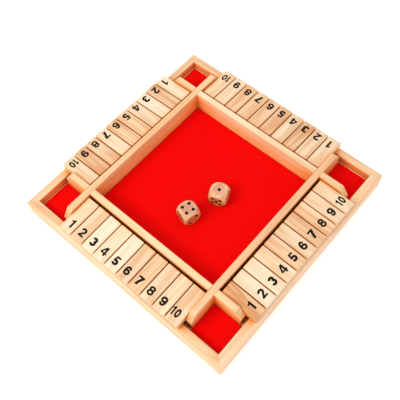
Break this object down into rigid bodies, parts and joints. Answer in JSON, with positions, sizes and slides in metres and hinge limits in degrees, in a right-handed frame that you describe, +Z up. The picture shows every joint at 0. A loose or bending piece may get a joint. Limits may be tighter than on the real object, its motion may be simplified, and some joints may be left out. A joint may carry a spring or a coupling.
{
  "type": "shut the box game",
  "caption": "Square wooden game tray with a red-lined dice arena, a row of hinged number tiles along each side, corner compartments and loose dice.",
  "frame": {"origin": "under the centre of the tray, on the surface that it stands on", "axes": "+Z up, the front row of tiles runs along +X, the right row along +Y"},
  "size_m": [0.225, 0.225, 0.0312],
  "materials": {
    "rail_wood": "clear satin lacquer on pale pine",
    "panel_wood": "bare plywood",
    "board_wood": "clear satin lacquer on pale pine",
    "tile_wood_cream": "clear satin lacquer, black printed numbers",
    "tile_wood_peach": "clear satin lacquer, black printed numbers",
    "tile_wood_pale": "clear satin lacquer, black printed numbers",
    "red_lining": "matt red baize",
    "rod_steel": "drawn steel rod",
    "die_wood": "waxed wood, black pips"
  },
  "bodies": {
    "tray": {"outer_rail_front": "rail_wood", "outer_rail_right": "rail_wood", "outer_rail_back": "rail_wood", "outer_rail_left": "rail_wood", "base_panel": "panel_wood", "red_lining": "red_lining", "long_board_left": "board_wood", "long_board_right": "board_wood", "short_board_front": "board_wood", "short_board_back": "board_wood", "cheek_left_front": "board_wood", "cheek_left_back": "board_wood", "cheek_right_front": "board_wood", "cheek_right_back": "board_wood", "hinge_rod_front": "rod_steel", "hinge_rod_right": "rod_steel", "hinge_rod_back": "rod_steel", "hinge_rod_left": "rod_steel"},
    "tile_front_1": {"tile_front_1": "tile_wood_cream"},
    "tile_front_2": {"tile_front_2": "tile_wood_cream"},
    "tile_front_3": {"tile_front_3": "tile_wood_pale"},
    "tile_front_4": {"tile_front_4": "tile_wood_pale"},
    "tile_front_5": {"tile_front_5": "tile_wood_pale"},
    "tile_front_6": {"tile_front_6": "tile_wood_cream"},
    "tile_front_7": {"tile_front_7": "tile_wood_peach"},
    "tile_front_8": {"tile_front_8": "tile_wood_cream"},
    "tile_front_9": {"tile_front_9": "tile_wood_cream"},
    "tile_front_10": {"tile_front_10": "tile_wood_cream"},
    "tile_right_1": {"tile_right_1": "tile_wood_peach"},
    "tile_right_2": {"tile_right_2": "tile_wood_pale"},
    "tile_right_3": {"tile_right_3": "tile_wood_pale"},
    "tile_right_4": {"tile_right_4": "tile_wood_cream"},
    "tile_right_5": {"tile_right_5": "tile_wood_peach"},
    "tile_right_6": {"tile_right_6": "tile_wood_cream"},
    "tile_right_7": {"tile_right_7": "tile_wood_peach"},
    "tile_right_8": {"tile_right_8": "tile_wood_peach"},
    "tile_right_9": {"tile_right_9": "tile_wood_cream"},
    "tile_right_10": {"tile_right_10": "tile_wood_cream"},
    "tile_back_1": {"tile_back_1": "tile_wood_cream"},
    "tile_back_2": {"tile_back_2": "tile_wood_cream"},
    "tile_back_3": {"tile_back_3": "tile_wood_peach"},
    "tile_back_4": {"tile_back_4": "tile_wood_cream"},
    "tile_back_5": {"tile_back_5": "tile_wood_peach"},
    "tile_back_6": {"tile_back_6": "tile_wood_peach"},
    "tile_back_7": {"tile_back_7": "tile_wood_peach"},
    "tile_back_8": {"tile_back_8": "tile_wood_peach"},
    "tile_back_9": {"tile_back_9": "tile_wood_cream"},
    "tile_back_10": {"tile_back_10": "tile_wood_cream"},
    "tile_left_1": {"tile_left_1": "tile_wood_pale"},
    "tile_left_2": {"tile_left_2": "tile_wood_peach"},
    "tile_left_3": {"tile_left_3": "tile_wood_pale"},
    "tile_left_4": {"tile_left_4": "tile_wood_cream"},
    "tile_left_5": {"tile_left_5": "tile_wood_peach"},
    "tile_left_6": {"tile_left_6": "tile_wood_peach"},
    "tile_left_7": {"tile_left_7": "tile_wood_cream"},
    "tile_left_8": {"tile_left_8": "tile_wood_peach"},
    "tile_left_9": {"tile_left_9": "tile_wood_peach"},
    "tile_left_10": {"tile_left_10": "tile_wood_cream"},
    "die_four": {"die_four": "die_wood"},
    "die_one": {"die_one": "die_wood"}
  },
  "joints": [
    {"name": "flip_front_1", "type": "hinge", "parent": "tray", "child": "tile_front_1", "pos_m": [-0.06076, -0.0799, 0.0242], "axis": [-1, 0, 0], "range_deg": [0, 109]},
    {"name": "flip_front_2", "type": "hinge", "parent": "tray", "child": "tile_front_2", "pos_m": [-0.04726, -0.0799, 0.0242], "axis": [-1, 0, 0], "range_deg": [0, 109]},
    {"name": "flip_front_3", "type": "hinge", "parent": "tray", "child": "tile_front_3", "pos_m": [-0.03376, -0.0799, 0.0242], "axis": [-1, 0, 0], "range_deg": [0, 109]},
    {"name": "flip_front_4", "type": "hinge", "parent": "tray", "child": "tile_front_4", "pos_m": [-0.02025, -0.0799, 0.0242], "axis": [-1, 0, 0], "range_deg": [0, 109]},
    {"name": "flip_front_5", "type": "hinge", "parent": "tray", "child": "tile_front_5", "pos_m": [-0.00675, -0.0799, 0.0242], "axis": [-1, 0, 0], "range_deg": [0, 109]},
    {"name": "flip_front_6", "type": "hinge", "parent": "tray", "child": "tile_front_6", "pos_m": [0.00675, -0.0799, 0.0242], "axis": [-1, 0, 0], "range_deg": [0, 109]},
    {"name": "flip_front_7", "type": "hinge", "parent": "tray", "child": "tile_front_7", "pos_m": [0.02025, -0.0799, 0.0242], "axis": [-1, 0, 0], "range_deg": [0, 109]},
    {"name": "flip_front_8", "type": "hinge", "parent": "tray", "child": "tile_front_8", "pos_m": [0.03376, -0.0799, 0.0242], "axis": [-1, 0, 0], "range_deg": [0, 109]},
    {"name": "flip_front_9", "type": "hinge", "parent": "tray", "child": "tile_front_9", "pos_m": [0.04726, -0.0799, 0.0242], "axis": [-1, 0, 0], "range_deg": [0, 109]},
    {"name": "flip_front_10", "type": "hinge", "parent": "tray", "child": "tile_front_10", "pos_m": [0.06076, -0.0799, 0.0242], "axis": [-1, 0, 0], "range_deg": [0, 109]},
    {"name": "flip_right_1", "type": "hinge", "parent": "tray", "child": "tile_right_1", "pos_m": [0.0799, -0.06076, 0.0242], "axis": [0, -1, 0], "range_deg": [0, 109]},
    {"name": "flip_right_2", "type": "hinge", "parent": "tray", "child": "tile_right_2", "pos_m": [0.0799, -0.04726, 0.0242], "axis": [0, -1, 0], "range_deg": [0, 109]},
    {"name": "flip_right_3", "type": "hinge", "parent": "tray", "child": "tile_right_3", "pos_m": [0.0799, -0.03376, 0.0242], "axis": [0, -1, 0], "range_deg": [0, 109]},
    {"name": "flip_right_4", "type": "hinge", "parent": "tray", "child": "tile_right_4", "pos_m": [0.0799, -0.02025, 0.0242], "axis": [0, -1, 0], "range_deg": [0, 109]},
    {"name": "flip_right_5", "type": "hinge", "parent": "tray", "child": "tile_right_5", "pos_m": [0.0799, -0.00675, 0.0242], "axis": [0, -1, 0], "range_deg": [0, 109]},
    {"name": "flip_right_6", "type": "hinge", "parent": "tray", "child": "tile_right_6", "pos_m": [0.0799, 0.00675, 0.0242], "axis": [0, -1, 0], "range_deg": [0, 109]},
    {"name": "flip_right_7", "type": "hinge", "parent": "tray", "child": "tile_right_7", "pos_m": [0.0799, 0.02025, 0.0242], "axis": [0, -1, 0], "range_deg": [0, 109]},
    {"name": "flip_right_8", "type": "hinge", "parent": "tray", "child": "tile_right_8", "pos_m": [0.0799, 0.03376, 0.0242], "axis": [0, -1, 0], "range_deg": [0, 109]},
    {"name": "flip_right_9", "type": "hinge", "parent": "tray", "child": "tile_right_9", "pos_m": [0.0799, 0.04726, 0.0242], "axis": [0, -1, 0], "range_deg": [0, 109]},
    {"name": "flip_right_10", "type": "hinge", "parent": "tray", "child": "tile_right_10", "pos_m": [0.0799, 0.06076, 0.0242], "axis": [0, -1, 0], "range_deg": [0, 109]},
    {"name": "flip_back_1", "type": "hinge", "parent": "tray", "child": "tile_back_1", "pos_m": [0.06076, 0.0799, 0.0242], "axis": [1, 0, 0], "range_deg": [0, 109]},
    {"name": "flip_back_2", "type": "hinge", "parent": "tray", "child": "tile_back_2", "pos_m": [0.04726, 0.0799, 0.0242], "axis": [1, 0, 0], "range_deg": [0, 109]},
    {"name": "flip_back_3", "type": "hinge", "parent": "tray", "child": "tile_back_3", "pos_m": [0.03376, 0.0799, 0.0242], "axis": [1, 0, 0], "range_deg": [0, 109]},
    {"name": "flip_back_4", "type": "hinge", "parent": "tray", "child": "tile_back_4", "pos_m": [0.02025, 0.0799, 0.0242], "axis": [1, 0, 0], "range_deg": [0, 109]},
    {"name": "flip_back_5", "type": "hinge", "parent": "tray", "child": "tile_back_5", "pos_m": [0.00675, 0.0799, 0.0242], "axis": [1, 0, 0], "range_deg": [0, 109]},
    {"name": "flip_back_6", "type": "hinge", "parent": "tray", "child": "tile_back_6", "pos_m": [-0.00675, 0.0799, 0.0242], "axis": [1, 0, 0], "range_deg": [0, 109]},
    {"name": "flip_back_7", "type": "hinge", "parent": "tray", "child": "tile_back_7", "pos_m": [-0.02025, 0.0799, 0.0242], "axis": [1, 0, 0], "range_deg": [0, 109]},
    {"name": "flip_back_8", "type": "hinge", "parent": "tray", "child": "tile_back_8", "pos_m": [-0.03376, 0.0799, 0.0242], "axis": [1, 0, 0], "range_deg": [0, 109]},
    {"name": "flip_back_9", "type": "hinge", "parent": "tray", "child": "tile_back_9", "pos_m": [-0.04726, 0.0799, 0.0242], "axis": [1, 0, 0], "range_deg": [0, 109]},
    {"name": "flip_back_10", "type": "hinge", "parent": "tray", "child": "tile_back_10", "pos_m": [-0.06076, 0.0799, 0.0242], "axis": [1, 0, 0], "range_deg": [0, 109]},
    {"name": "flip_left_1", "type": "hinge", "parent": "tray", "child": "tile_left_1", "pos_m": [-0.0799, 0.06076, 0.0242], "axis": [0, 1, 0], "range_deg": [0, 109]},
    {"name": "flip_left_2", "type": "hinge", "parent": "tray", "child": "tile_left_2", "pos_m": [-0.0799, 0.04726, 0.0242], "axis": [0, 1, 0], "range_deg": [0, 109]},
    {"name": "flip_left_3", "type": "hinge", "parent": "tray", "child": "tile_left_3", "pos_m": [-0.0799, 0.03376, 0.0242], "axis": [0, 1, 0], "range_deg": [0, 109]},
    {"name": "flip_left_4", "type": "hinge", "parent": "tray", "child": "tile_left_4", "pos_m": [-0.0799, 0.02025, 0.0242], "axis": [0, 1, 0], "range_deg": [0, 109]},
    {"name": "flip_left_5", "type": "hinge", "parent": "tray", "child": "tile_left_5", "pos_m": [-0.0799, 0.00675, 0.0242], "axis": [0, 1, 0], "range_deg": [0, 109]},
    {"name": "flip_left_6", "type": "hinge", "parent": "tray", "child": "tile_left_6", "pos_m": [-0.0799, -0.00675, 0.0242], "axis": [0, 1, 0], "range_deg": [0, 109]},
    {"name": "flip_left_7", "type": "hinge", "parent": "tray", "child": "tile_left_7", "pos_m": [-0.0799, -0.02025, 0.0242], "axis": [0, 1, 0], "range_deg": [0, 109]},
    {"name": "flip_left_8", "type": "hinge", "parent": "tray", "child": "tile_left_8", "pos_m": [-0.0799, -0.03376, 0.0242], "axis": [0, 1, 0], "range_deg": [0, 109]},
    {"name": "flip_left_9", "type": "hinge", "parent": "tray", "child": "tile_left_9", "pos_m": [-0.0799, -0.04726, 0.0242], "axis": [0, 1, 0], "range_deg": [0, 109]},
    {"name": "flip_left_10", "type": "hinge", "parent": "tray", "child": "tile_left_10", "pos_m": [-0.0799, -0.06076, 0.0242], "axis": [0, 1, 0], "range_deg": [0, 109]},
    {"name": "lift_die_four", "type": "slide", "parent": "tray", "child": "die_four", "axis": [0, 0, 1], "range_m": [0, 0.06]},
    {"name": "lift_die_one", "type": "slide", "parent": "tray", "child": "die_one", "axis": [0, 0, 1], "range_m": [0, 0.06]}
  ]
}
